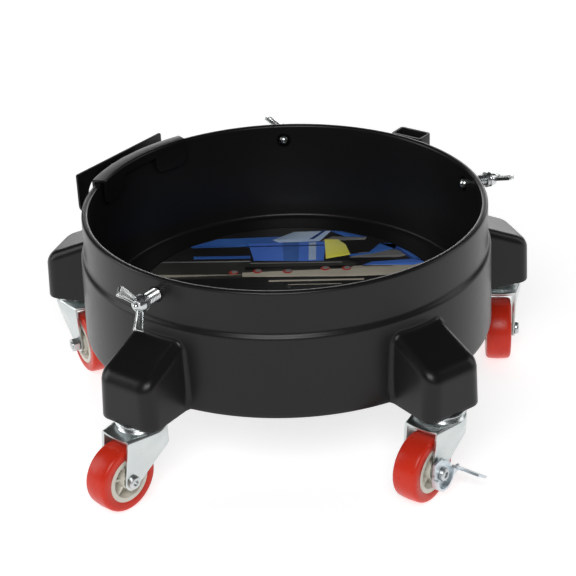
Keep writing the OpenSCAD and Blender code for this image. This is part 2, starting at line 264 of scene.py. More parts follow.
def link_data(name, mesh, mat, sharp_deg=35):
    """An object in the scene from a mesh, its faces turned outward and smooth."""
    obj = bpy.data.objects.new(name, mesh)
    bpy.context.scene.collection.objects.link(obj)
    tidy = bmesh.new()
    tidy.from_mesh(mesh)
    bmesh.ops.recalc_face_normals(tidy, faces=tidy.faces)
    tidy.to_mesh(mesh)
    tidy.free()
    mesh.materials.clear()
    mesh.materials.append(mat)
    mesh.shade_smooth()
    mesh.set_sharp_from_angle(angle=math.radians(sharp_deg))
    return obj


def finish_piece(obj, body, slot, *nodes):
    """Ties a piece to its body and hides the CAD nodes it stands for; slot is not used."""
    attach(obj, body)
    if nodes:
        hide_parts(*nodes)
    return obj


def loop_faces(rows, cols, closed_rows=False, closed_cols=True):
    """Quads of a grid of rows by cols points, numbered row by row."""
    faces = []
    for r in range(rows if closed_rows else rows - 1):
        for c in range(cols if closed_cols else cols - 1):
            r2 = (r + 1) % rows
            c2 = (c + 1) % cols
            faces.append((r * cols + c, r * cols + c2, r2 * cols + c2, r2 * cols + c))
    return faces


def lathe_parts(profile, segments, place):
    """A closed (radius, height) profile turned about local Z, in millimetres."""
    verts = []
    for radius, height in profile:
        for k in range(segments):
            a = 2 * math.pi * k / segments
            verts.append(place @ Vector((radius * math.cos(a), radius * math.sin(a), height)))
    return verts, loop_faces(len(profile), segments, closed_rows=True)


def join_parts(parts):
    """One list of points and one of faces from several such pairs."""
    verts, faces = [], []
    for part_verts, part_faces in parts:
        start = len(verts)
        verts += part_verts
        faces += [tuple(i + start for i in f) for f in part_faces]
    return verts, faces


def arc(cx, cy, radius, start, end, steps=6):
    """Points along an arc, from the start angle to the end angle in degrees."""
    angles = np.radians(np.linspace(start, end, steps + 1))
    return [(cx + radius * math.cos(a), cy + radius * math.sin(a)) for a in angles]


def rounded(points, radius, steps=5):
    """A closed outline with every corner rounded to radius."""
    out = []
    n = len(points)
    for i, corner in enumerate(points):
        corner = Vector(corner)
        before = (Vector(points[i - 1]) - corner).normalized()
        after = (Vector(points[(i + 1) % n]) - corner).normalized()
        half = math.acos(max(-1, min(1, before.dot(after)))) / 2
        reach = radius / math.tan(half)
        centre = corner + (before + after).normalized() * radius / math.sin(half)
        first = corner + before * reach - centre
        last = corner + after * reach - centre
        sweep = first.angle_signed(last)
        for k in range(steps + 1):
            turn = Matrix.Rotation(-sweep * k / steps, 2)
            out.append(tuple(centre + turn @ first))
    return out


def plate_mesh(name, loops, thickness, bevel, place, bevel_steps=2):
    """A flat plate from outlines in millimetres, middle plane at z = 0, with soft edges."""
    curve = bpy.data.curves.new(name, "CURVE")
    curve.dimensions = "2D"
    curve.fill_mode = "BOTH"
    curve.extrude = thickness / 2 - bevel
    curve.bevel_depth = bevel
    curve.bevel_resolution = bevel_steps
    curve.offset = -bevel
    for loop in loops:
        spline = curve.splines.new("POLY")
        spline.points.add(len(loop) - 1)
        for point, (x, y) in zip(spline.points, loop):
            point.co = (x, y, 0, 1)
        spline.use_cyclic_u = True
    holder = bpy.data.objects.new(name + "_curve", curve)
    bpy.context.scene.collection.objects.link(holder)
    bpy.context.view_layer.update()
    mesh = bpy.data.meshes.new_from_object(holder)
    bpy.data.objects.remove(holder)
    bpy.data.curves.remove(curve)
    tidy = bmesh.new()
    tidy.from_mesh(mesh)
    bmesh.ops.remove_doubles(tidy, verts=tidy.verts, dist=0.001)
    tidy.to_mesh(mesh)
    tidy.free()
    mesh.transform(place)
    return mesh


def mesh_parts(mesh):
    """A mesh's points and faces."""
    verts = [v.co.copy() for v in mesh.vertices]
    faces = [tuple(p.vertices) for p in mesh.polygons]
    return verts, faces


def box_parts(low, high, place, bevel=0.4):
    """A box with chamfered edges."""
    work = bmesh.new()
    bmesh.ops.create_cube(work, size=1)
    size = [h - l for l, h in zip(low, high)]
    middle = [(h + l) / 2 for l, h in zip(low, high)]
    for v in work.verts:
        v.co = Vector([m + s * c for m, s, c in zip(middle, size, v.co)])
    if bevel:
        bmesh.ops.bevel(work, geom=list(work.edges), offset=bevel, segments=2,
                        affect="EDGES", profile=0.5)
    verts = [place @ v.co for v in work.verts]
    work.verts.index_update()
    faces = [tuple(v.index for v in f.verts) for f in work.faces]
    work.free()
    return verts, faces


def facing(azimuth, radius=0.0, height=0.0):
    """Metres from a millimetre frame: x across, y outward, z up, at an azimuth."""
    a = math.radians(azimuth)
    turn = Matrix(((math.cos(a), math.sin(a), 0), (math.sin(a), -math.cos(a), 0), (0, 0, 1)))
    out = Vector((math.sin(a), -math.cos(a), 0)) * radius + Vector((0, 0, height))
    return Matrix.Translation(out * MM) @ (turn * MM).to_4x4()


def axle_frame(joint):
    """Metres from a millimetre frame whose z runs along a joint and x points down."""
    axis = Vector(JOINTS[joint]["axis"]).normalized()
    down = Vector((0, 0, -1))
    turn = Matrix((down, axis.cross(down), axis)).transposed()
    return Matrix.Translation(JOINTS[joint]["pos_m"]) @ (turn * MM).to_4x4()


def outward_frame(azimuth, height):
    """Metres from a millimetre frame: x across, y up, z outward from the tub's axis."""
    a = math.radians(azimuth)
    across = Vector((math.cos(a), math.sin(a), 0))
    out = Vector((math.sin(a), -math.cos(a), 0))
    turn = Matrix((across, Vector((0, 0, 1)), out)).transposed()
    return Matrix.Translation((0, 0, height * MM)) @ (turn * MM).to_4x4()


# ---- Tub ----

def drum_radius(z):
    """Outer radius of the drum and the band above it, without the legs."""
    z = np.asarray(z, float)
    step = DRUM_R - BAND_R
    turn_r = 4.2
    rise = turn_r * math.sin(math.acos(1 - step / 2 / turn_r))
    low, high = SHOULDER_Z - rise, SHOULDER_Z + rise
    drum = DRUM_FOOT_R + (DRUM_R - DRUM_FOOT_R) * (z - FOOT_Z) / (low - FOOT_Z)
    band = BAND_R + (RIM_R - BAND_R) * (z - high) / (RIM_Z - LIP - high)
    convex = DRUM_R - turn_r + np.sqrt(turn_r**2 - np.clip(z - low, 0, rise)**2)
    concave = BAND_R + turn_r - np.sqrt(turn_r**2 - np.clip(high - z, 0, rise)**2)
    shoulder = np.where(z < SHOULDER_Z, convex, concave)
    return np.where(z <= low, drum, np.where(z >= high, band, shoulder))


def tub_field(radius, azimuth, z):
    """Signed distance, roughly, to the outside of the drum and its legs."""
    nearest = (azimuth - LEG_AT[0] + 36) % 72 - 36
    psi = np.radians(nearest)
    u = radius * np.cos(psi)
    v = np.abs(radius * np.sin(psi))
    half = LEG_HALF - 2.4 * np.clip((z - FOOT_Z) / (LEG_Z - FOOT_Z), 0, 1)
    end = u - LEG_REACH + 0.8 * np.clip((z - FOOT_Z) / 40, 0, 1)
    side = v - half
    top = (z - LEG_Z + (u - LEG_X) * math.tan(LEG_SLOPE)) * math.cos(LEG_SLOPE)
    r_plan, r_top = 10.0, 7.0
    plan = (np.minimum(-r_plan, np.maximum(end, side))
            + np.hypot(np.maximum(r_plan + end, 0), np.maximum(r_plan + side, 0)))
    leg = (np.minimum(-r_top, np.maximum(plan, top))
           + np.hypot(np.maximum(r_top + plan, 0), np.maximum(r_top + top, 0)))
    drum = radius - drum_radius(z)
    fillet = 2.2
    return (np.maximum(fillet, np.minimum(drum, leg))
            - np.hypot(np.maximum(fillet - drum, 0), np.maximum(fillet - leg, 0)))


def solve_radius(azimuth, z, level=0.0):
    """Radius where the field equals level, by halving, on a whole grid at once."""
    low = drum_radius(z) - 12 + 0 * azimuth
    high = np.full_like(low, LEG_REACH + 12)
    for _ in range(34):
        middle = (low + high) / 2
        outside = tub_field(middle, azimuth, z) > level
        high = np.where(outside, middle, high)
        low = np.where(outside, low, middle)
    return (low + high) / 2


def tub_azimuths(spacing=1.9):
    """Azimuths evenly spaced along the outline of the drum and its legs."""
    fine = np.linspace(-72, 0, 7201)
    radius = solve_radius(fine, np.zeros_like(fine))
    x = radius * np.sin(np.radians(fine))
    y = radius * np.cos(np.radians(fine))
    length = np.concatenate([[0], np.cumsum(np.hypot(np.diff(x), np.diff(y)))])
    count = int(length[-1] / spacing)
    sector = np.interp(np.linspace(0, length[-1], count + 1)[:-1], length, fine)
    return np.concatenate([sector + 72 * k for k in range(5)])


def tub_rows(azimuths):
    """Rows of (radius, height) that wrap the whole tub, from seat to underside."""
    def flat(radius, z):
        return np.full_like(azimuths, float(radius)), float(z)

    rows = [flat(0.5, -1.2), flat(60, -1.2), flat(CARD_R + 0.4, -1.2), flat(CARD_R + 0.5, 0)]
    rows += [flat(CARD_R + 1.2, 0), flat(SEAT_R - 6, 0)]
    rows += [flat(r, z) for r, z in arc(SEAT_R - 3, 3, 3, -90, 0, 5)]
    for share in np.linspace(0.1, 0.92, 9):
        rows.append(flat(SEAT_R + 4 * share, RIM_Z * share))
    rows += [flat(r, z) for r, z in arc(MOUTH_R + LIP, RIM_Z - LIP, LIP, 180, 90, 6)]
    rows += [flat(r, z) for r, z in arc(RIM_R - LIP, RIM_Z - LIP, LIP, 90, 0, 6)]
    heights = list(np.linspace(RIM_Z - 4, SHOULDER_Z + 6, 7))
    heights += list(np.linspace(SHOULDER_Z + 5, SHOULDER_Z - 5, 21))
    heights += list(np.arange(SHOULDER_Z - 5.7, 8, -0.75))
    heights += list(np.linspace(7.5, FOOT_Z + 0.6, 9))
    for z in heights:
        rows.append((solve_radius(azimuths, np.full_like(azimuths, z)), z))
    foot = solve_radius(azimuths, np.full_like(azimuths, FOOT_Z))
    rows += [(foot - 0.35, FOOT_Z)]
    ceiling = LEG_Z - 6
    inside = solve_radius(azimuths, np.full_like(azimuths, FOOT_Z), -SKIN)
    rows += [(inside + 0.3, FOOT_Z)]
    for z in np.concatenate([np.linspace(FOOT_Z + 0.4, 0, 5), np.arange(1.5, ceiling, 1.5)]):
        rows.append((solve_radius(azimuths, np.full_like(azimuths, z), -SKIN), z))
    groove = SEAT_R + SKIN
    rows += [flat(groove + 0.6, ceiling + 2), flat(groove, ceiling + 1), flat(groove, FOOT_Z + 0.4)]
    rows += [flat(groove - 0.4, FOOT_Z), flat(SEAT_R, FOOT_Z), flat(SEAT_R - 0.4, FOOT_Z + 0.4)]
    rows += [flat(SEAT_R - 0.4, -5.5), flat(SEAT_R - 1.9, -4), flat(60, -4), flat(0.5, -4)]
    return rows


def make_tub_shell():
    """Drum, floor, shoulder and five legs, as one double-walled moulding."""
    azimuths = tub_azimuths()
    rows = tub_rows(azimuths)
    angles = np.radians(azimuths)
    verts = []
    for radius, z in rows:
        xs = radius * np.sin(angles) * MM
        ys = -radius * np.cos(angles) * MM
        verts += [(x, y, z * MM) for x, y in zip(xs, ys)]
    count = len(azimuths)
    faces = loop_faces(len(rows), count)
    faces.append(tuple(range(count)))
    faces.append(tuple(range((len(rows) - 1) * count, len(rows) * count)))
    shell = link_mesh("tub_shell", verts, faces, MAT["tub"], 40)
    cut_clamp_holes(shell)
    legs = [f"leg_{name}" for name in CASTERS]
    return finish_piece(shell, "tub", "tub_plastic", "tub", *legs)


def cut_clamp_holes(shell):
    """Bores a hole through the wall for each clamp's threaded insert."""
    holes = []
    for azimuth in CLAMPS.values():
        place = outward_frame(azimuth, CLAMP_Z)
        holes.append(lathe_parts([(0.01, 135), (6, 135), (6, 165), (0.01, 165)], 48, place))
    cutter = link_mesh("hole_cutter", *join_parts(holes), MAT["tub"])
    cut = shell.modifiers.new("holes", "BOOLEAN")
    cut.operation = "DIFFERENCE"
    cut.solver = "EXACT"
    cut.object = cutter
    bpy.context.view_layer.update()
    result = bpy.data.meshes.new_from_object(shell.evaluated_get(
        bpy.context.evaluated_depsgraph_get()))
    shell.modifiers.remove(cut)
    shell.data = result
    bpy.data.objects.remove(cutter)
    result.set_sharp_from_angle(angle=math.radians(40))


def make_tub_ribs():
    """Ribs, rings and stem bosses under the floor and inside the legs."""
    parts = []
    for k in range(10):
        place = facing(36 * k + 18)
        parts.append(box_parts((-1.25, 2, FOOT_Z + 2), (1.25, SEAT_R - 1, -3.5), place))
        parts.append(box_parts((-1.5, SEAT_R + 2, FOOT_Z + 1), (1.5, DRUM_R - 2, 30), place))
    middle = Matrix.Scale(MM, 4)
    for radius in (62, 112):
        ring = [(radius - 2.5, FOOT_Z + 2), (radius, FOOT_Z + 2), (radius, -3.5),
                (radius - 2.5, -3.5)]
        parts.append(lathe_parts(ring, 160, middle))
    for azimuth in LEG_AT:
        place = facing(azimuth, STEM_R)
        parts.append(lathe_parts([(4.05, FOOT_Z), (12.6, FOOT_Z), (13, FOOT_Z + 0.4),
                                  (13, 20), (4.05, 12)], 64, place))
        parts.append(box_parts((-1.5, -24, FOOT_Z + 3), (1.5, 15.5, 15), place))
        parts.append(box_parts((-22, -1.5, FOOT_Z + 3), (22, 1.5, 15), place))
    ribs = link_mesh("tub_ribs", *join_parts(parts), MAT["tub"])
    return finish_piece(ribs, "tub", "tub_plastic")


def make_pocket():
    """Open-topped pocket moulded on the back of the rim."""
    wall, depth, out, width = 2.0, 31, 15.6, 28
    outer = rounded([(1 - width, -1), (1, -1), (1, out), (1 - width, out)], 2.2)
    inner = rounded([(1 - width + wall, 1), (1 - wall, 1), (1 - wall, out - wall),
                     (1 - width + wall, out - wall)], 1.2)
    place = facing(POCKET_AT, RIM_R)
    rows = []
    for outline, grow, z in ((outer, 0.985, RIM_Z - depth), (outer, 1, RIM_Z - depth + 0.6),
                             (outer, 1, RIM_Z - 0.5), (outer, 0.985, RIM_Z - 0.1),
                             (inner, 1.02, RIM_Z - 0.1), (inner, 1, RIM_Z - 0.5),
                             (inner, 1, RIM_Z - depth + wall)):
        centre = Vector((1 - width / 2, (out - 1) / 2))
        ring = [centre + (Vector(p) - centre) * grow for p in outline]
        rows.append([place @ Vector((p.x, p.y, z)) for p in ring])
    count = len(outer)
    faces = loop_faces(len(rows), count)
    faces.append(tuple(range(count)))
    faces.append(tuple(range((len(rows) - 1) * count, len(rows) * count)))
    pocket = link_mesh("tub_pocket", [v for r in rows for v in r], faces, MAT["tub"])
    return finish_piece(pocket, "tub", "tub_plastic", "display_pocket")


# ---- Casters ----

def make_tyre(name):
    """Flat-treaded tyre with tight rounded shoulders and a faint parting line."""
    place = axle_frame(f"roll_{name}")
    shoulder = 3.0
    crown = 0.45
    edge = WHEEL_R - crown
    profile = [(HUB_R, TYRE_HALF - 0.4), (HUB_R + 0.4, TYRE_HALF)]
    profile += arc(edge - shoulder, TYRE_HALF - shoulder, shoulder, 90, 6, 7)
    profile += [(edge + 0.25, 4.5), (WHEEL_R, 0.4)]
    profile += [(r, -z) for r, z in reversed(profile)]
    tyre = link_mesh(f"tyre_{name}_cast", *lathe_parts(profile, 144, place), MAT["tyre"], 50)
    return finish_piece(tyre, f"wheel_{name}", "tyre_urethane", f"tyre_{name}")


def make_hub(name):
    """Cream moulded hub: outer ring, boss, web and six spokes on each face."""
    place = axle_frame(f"roll_{name}")
    half = TYRE_HALF + 0.5
    ring = [(13.2, half - 1.2), (13.6, half - 0.6), (16.6, half - 0.5), (HUB_R, half - 0.9)]
    ring += [(r, -z) for r, z in reversed(ring)]
    boss = [(4.05, half), (6.2, half), (6.6, half - 0.4), (7.0, 2)]
    boss += [(r, -z) for r, z in reversed(boss)]
    web = [(6, 1.2), (13.5, 1.2), (13.5, -1.2), (6, -1.2)]
    parts = [lathe_parts(ring, 96, place), lathe_parts(boss, 64, place),
             lathe_parts(web, 64, place)]
    for k in range(6):
        spin = place @ Matrix.Rotation(math.radians(60 * k + 12), 4, "Z")
        parts.append(box_parts((6.3, -0.9, 2.8 - half), (13.5, 0.9, half - 2.8), spin, 0.3))
    hub = link_mesh(f"hub_{name}_moulded", *join_parts(parts), MAT["hub"])
    return finish_piece(hub, f"wheel_{name}", "hub_plastic", f"hub_{name}")


def caster_frame(name):
    """Metres from a millimetre frame on the swivel axis: y points along the trail."""
    stem = Vector(JOINTS[f"swivel_{name}"]["pos_m"])
    ahead = Vector(JOINTS[f"roll_{name}"]["pos_m"]) - stem
    ahead.z = 0
    ahead.normalize()
    side = ahead.cross(Vector((0, 0, 1)))
    turn = Matrix((side, ahead, (0, 0, 1))).transposed()
    return Matrix.Translation((stem.x, stem.y, 0)) @ (turn * MM).to_4x4()


def fork_half_width(y, z):
    """Half the fork's width: a round head above, drawn in to flat arms below."""
    reach = math.hypot(FORK_OUT, TRAIL + 1.8)
    touch = math.atan2(TRAIL + 1.8, FORK_OUT) - math.acos(FORK_R / reach)
    touch_x, touch_y = FORK_R * math.cos(touch), FORK_R * math.sin(touch)
    if y < touch_y:
        head = math.sqrt(max(FORK_R**2 - y**2, 0))
    else:
        head = touch_x + (FORK_OUT - touch_x) * (y - touch_y) / (TRAIL + 1.8 - touch_y)
    share = max(0, min(1, (FORK_TOP - 5 - z) / 18))
    share = share * share * (3 - 2 * share)
    return head + (min(head, FORK_OUT) - head) * share


def fork_low_edge(y):
    """Lower edge of the fork's side, from the rear skirt down to the axle eye."""
    eye = 6.6
    back_y, back_z = -14.9, FORK_TOP - 16
    front_y, front_z = TRAIL - 5.4, AXLE_Z - 3.8
    if y <= back_y:
        return FORK_TOP - 8 - math.sqrt(max(144 - (y + 6) ** 2, 0))
    if y <= front_y:
        return back_z + (front_z - back_z) * (y - back_y) / (front_y - back_y)
    return AXLE_Z - math.sqrt(max(eye**2 - (y - TRAIL) ** 2, 0))


def fork_section(y):
    """Right half of a section of the fork across its trail: plate, bend and arm."""
    bend = 2.4
    dip = max(0, min(1, (y - 12) / 12.8))
    half = fork_half_width(y, FORK_TOP)
    inner = max(half - bend, 0)
    points = []
    for share in np.linspace(0, 1, 9):
        sag = 1.9 * dip * dip * (1 - (share * inner / FORK_OUT) ** 2)
        points.append((share * inner, y, FORK_TOP - sag))
    for a in np.radians((25, 50, 75, 90)):
        points.append((inner + (half - inner) * math.sin(a), y,
                       FORK_TOP - bend * (1 - math.cos(a))))
    lean = 4.65 * max(0, (y + FORK_R) / (TRAIL + 1.8 + FORK_R)) ** 1.5
    low = fork_low_edge(y + lean)
    start = FORK_TOP - bend
    for share in np.linspace(0, 1, 27)[1:]:
        z = start + (low - start) * share
        points.append((fork_half_width(y + lean * share, z), y + lean * share, z))
    return points


def make_fork(name):
    """Pressed-steel fork: round head, bowed front lip and two trailing arms."""
    place = caster_frame(name)
    turn = np.linspace(0, math.pi / 2, 15)
    stations = list(-FORK_R * np.cos(turn)) + list(np.linspace(0, TRAIL + 1.8, 22)[1:])
    rows = []
    for y in stations:
        right = fork_section(y)
        left = [(-x, yy, z) for x, yy, z in reversed(right[1:])]
        rows.append([place @ Vector(p) for p in left + right])
    sheet = link_mesh(f"fork_{name}_pressed", [v for r in rows for v in r],
                      loop_faces(len(rows), len(rows[0]), closed_cols=False), MAT["zinc"])
    work = bmesh.new()
    work.from_mesh(sheet.data)
    bmesh.ops.remove_doubles(work, verts=work.verts, dist=0.02 * MM)
    bmesh.ops.recalc_face_normals(work, faces=work.faces)
    up = sum(f.normal.z * f.calc_area() for f in work.faces)
    if up < 0:
        bmesh.ops.reverse_faces(work, faces=work.faces)
    work.to_mesh(sheet.data)
    work.free()
    thick = sheet.modifiers.new("thickness", "SOLIDIFY")
    thick.thickness = 2 * MM
    thick.offset = -1
    thick.use_even_offset = True
    edge = sheet.modifiers.new("edge", "BEVEL")
    edge.width = 0.35 * MM
    edge.segments = 2
    edge.limit_method = "ANGLE"
    edge.angle_limit = math.radians(55)
    sheet.data.set_sharp_from_angle(angle=math.radians(60))
    finish_piece(sheet, f"caster_{name}", "zinc_steel", f"fork_{name}")
    ring = [(13.6, FORK_TOP - 0.3), (13.6, FORK_TOP + 2), (14.1, FORK_TOP + 2.3)]
    ring += [(15.8, FORK_TOP + 2.3), (16.4, FORK_TOP + 1.9), (16.7, FORK_TOP + 1)]
    ring += [(17.3, FORK_TOP + 0.3), (18, FORK_TOP - 0.3)]
    seat = link_mesh(f"raceway_{name}_ring", *lathe_parts(ring, 96, place), MAT["race"], 50)
    return finish_piece(seat, f"caster_{name}", "zinc_steel")


def make_race(name):
    """Bearing cup under the leg, with a rolled lip and a groove around it."""
    place = caster_frame(name)
    low, high = RACE_LOW, FOOT_Z
    cup = [(4.05, high), (RACE_R - 0.7, high), (RACE_R, high - 0.6), (RACE_R, high - 1.2)]
    cup += [(RACE_R - 0.7, high - 1.5), (RACE_R - 0.6, high - 1.9), (RACE_R - 0.3, high - 2.3)]
    cup += [(RACE_R - 0.8, high - 3), (RACE_R - 2, low), (10.5, low), (9, low + 1.2)]
    cup += [(4.05, low + 1.2)]
    race = link_mesh(f"race_{name}_cup", *lathe_parts(cup, 96, place), MAT["race"], 50)
    return finish_piece(race, "tub", "race_steel", f"race_{name}")


def soften(node, mat, width=0.25):
    """Gives a carried-over CAD node its material and broken edges."""
    obj = frame["nodes"][node]
    obj.data.materials.clear()
    obj.data.materials.append(mat)
    if width:
        edge = obj.modifiers.new("edge", "BEVEL")
        edge.width = width * MM
        edge.segments = 2
        edge.limit_method = "ANGLE"
        edge.angle_limit = math.radians(38)
        edge.harden_normals = False
    return obj


def make_casters():
    """Every caster's own pieces, and new looks for its carried-over CAD nodes."""
    for name in CASTERS:
        make_tyre(name)
        make_hub(name)
        make_fork(name)
        make_race(name)
        soften(f"stem_{name}", MAT["bolt"])
        soften(f"axle_{name}", MAT["bolt"])
        soften(f"sleeve_{name}", MAT["bolt"], 0.1)
        soften(f"nut_{name}", MAT["bolt"], 0.3)
    soften("brake_lever", MAT["brake"], 0.4)


# ---- Clamp screws ----

def thread_profile(radius, start, end, pitch=1.5):
    """Ridges and roots of a screw thread, as closed rings."""
    points = [(0.05, start), (radius - 0.9, start)]
    turns = int((end - start) / pitch)
    for k in range(turns):
        z = start + k * pitch
        points += [(radius - 0.55, z + 0.15), (radius, z + 0.6), (radius, z + 0.85),
                   (radius - 0.55, z + 1.35)]
    return points + [(radius - 0.55, end), (0.05, end)]


def wing_loop(inset):
    """Outline of one wing: x away from the screw, y outward along it."""
    lean = math.radians(37)
    start = -3 if inset == 0 else 3.5
    blade = rounded([(start, inset - 1), (11, inset - 1.2), (17.5 - inset, inset - 1.5),
                     (17.5 - inset, 6.6 - inset), (11, 5.2 - inset), (start, 5 - inset)],
                    1.3 if inset == 0 else 0.6, 4)
    loop = []
    for x, y in blade:
        px = 3 + x * math.cos(lean) - y * math.sin(lean)
        py = 1.2 + x * math.sin(lean) + y * math.cos(lean)
        loop.append((max(px, 0.2), max(py, 0.3)))
    return loop


def make_clamp(name):
    """Wing screw: threaded shank, turned boss with a domed end, two cast wings."""
    azimuth = CLAMPS[name]
    head = RIM_R + SCREW_BARE + WASHERS_T
    tip = MOUTH_R - (MOUTH_R - SEAT_R) * CLAMP_DROP / RIM_Z - 3
    spin = Matrix.Rotation(math.radians(WING_TURNS[name]), 4, "Z")
    place = outward_frame(azimuth, CLAMP_Z) @ spin
    parts = [lathe_parts(thread_profile(4.5, tip + 5.2, head + 0.6), 48, place)]
    parts.append(lathe_parts([(0.05, tip + 2.8), (2, tip + 2.8), (2, tip + 5.6),
                              (0.05, tip + 5.6)], 32, place))
    boss = [(0.05, head), (5.7, head), (6, head + 0.3), (6, head + 1.4), (5.5, head + 2.2)]
    boss += [(4.9, head + 4.6), (4.3, head + 5.6), (3.2, head + 5.8)]
    boss += [(r, head + 5.6 + z) for r, z in arc(0, 0, 2.7, 10, 88, 6)]
    parts.append(lathe_parts(boss, 48, place))
    for side in (0, 180):
        turn = Matrix.Rotation(math.radians(side), 4, "Z")
        stand = Matrix(((0, 0, 1, 0), (1, 0, 0, 0), (0, 1, 0, 0), (0, 0, 0, 1)))
        at = place @ turn @ Matrix.Translation((0, 0, head)) @ stand
        parts.append(mesh_parts(plate_mesh("wing", [wing_loop(0)], 1.8, 0.5, at)))
        rim = [wing_loop(0), wing_loop(1.5)]
        parts.append(mesh_parts(plate_mesh("wing_rim", rim, 3.2, 0.55, at)))
    screw = link_mesh(f"wing_screw_{name}", *join_parts(parts), MAT["clamp"], 45)
    finish_piece(screw, f"clamp_wing_{name}", "clamp_steel", f"clamp_screw_{name}")
    soften(f"clamp_washers_{name}", MAT["bolt"], 0.15)
    soften(f"clamp_tip_{name}", MAT["clamp"], 0)
    soften(f"clamp_insert_{name}", MAT["insert"], 0.1)


# ---- Display stand ----

def make_saddle():
    """Curved saddle over the rim, its inner skirt drawn down into two tabs."""
    half, wall = 20, 2.0
    inner = MOUTH_R - 1.8
    outer = RIM_R + 0.6
    top = RIM_Z + 0.3 + wall
    angles = np.unique(np.concatenate([
        np.linspace(-half, half, 61),
        *[s * (14 + 6 * np.sin(np.linspace(-math.pi / 2, math.pi / 2, 25)))
          for s in (-1, 1)]]))
    rows = []
    for a in angles:
        reach = min(1.0, abs(abs(a) - 14) / 6)
        depth = 6 + 14 * (1 - reach ** 5) ** (1 / 5)
        section = [(inner, RIM_Z - depth + 0.3), (inner - 0.3, RIM_Z - depth),
                   (inner - wall + 0.3, RIM_Z - depth), (inner - wall, RIM_Z - depth + 0.3)]
        section += arc(inner - wall + 1.6, top - 1.6, 1.6, 180, 90, 5)
        section += arc(outer + wall - 1.6, top - 1.6, 1.6, 90, 0, 5)
        section += [(outer + wall, RIM_Z - 14.7), (outer + wall - 0.3, RIM_Z - 15),
                    (outer + 0.3, RIM_Z - 15), (outer, RIM_Z - 14.7)]
        section += [(outer, RIM_Z + 0.3), (inner, RIM_Z + 0.3)]
        place = facing(STAND_AT + a)
        rows.append([place @ Vector((0, r, z)) for r, z in section])
    count = len(rows[0])
    faces = loop_faces(len(rows), count)
    faces.append(tuple(range(count)))
    faces.append(tuple(range((len(rows) - 1) * count, len(rows) * count)))
    return [v for r in rows for v in r], faces


def make_stand():
    """Display stand: saddle over the rim, outer plate with two arches, three webs."""
    parts = [make_saddle()]
    plate_half, height = 51.0, 34.0
    low, high = RIM_Z + 3 - height, RIM_Z + 3
    corner = 8
    outline = arc(-plate_half + corner, low + corner, corner, 180, 270, 8)
    outline += [(-28 - 12, low)] + arc(-28, low + 13, 12, 180, 0, 16) + [(-28 + 12, low)]
    outline += [(28 - 12, low)] + arc(28, low + 13, 12, 180, 0, 16) + [(28 + 12, low)]
    outline += arc(plate_half - corner, low + corner, corner, 270, 360, 8)
    outline += [(plate_half, high - 1), (plate_half - 1, high), (1 - plate_half, high),
                (-plate_half, high - 1)]
    plate_u = RIM_R + 7.4 + 1
    upright = Matrix(((1, 0, 0, 3), (0, 0, 1, plate_u), (0, 1, 0, 0), (0, 0, 0, 1)))
    place = facing(STAND_AT) @ upright
    parts.append(mesh_parts(plate_mesh("stand_plate", [outline], 2.0, 0.35, place)))
    for x in (-15, 0, 15):
        parts.append(box_parts((x - 1, RIM_R + 1.5, RIM_Z - 14), (x + 1, plate_u - 0.5, RIM_Z - 1),
                               facing(STAND_AT), 0.3))
    stand = link_mesh("stand_clip", *join_parts(parts), MAT["stand"])
    return finish_piece(stand, "stand", "stand_plastic", "display_stand")


# ---- Printed card ----

def clip_to_card(points, radius):
    """Cuts a polygon to the card's circle by pulling far points onto it."""
    out = []
    n = len(points)
    for i in range(n):
        a = Vector(points[i])
        b = Vector(points[(i + 1) % n])
        for k in range(24):
            p = a.lerp(b, k / 24)
            if p.length > radius:
                p = p.normalized() * radius
            out.append((p.x, p.y))
    return out


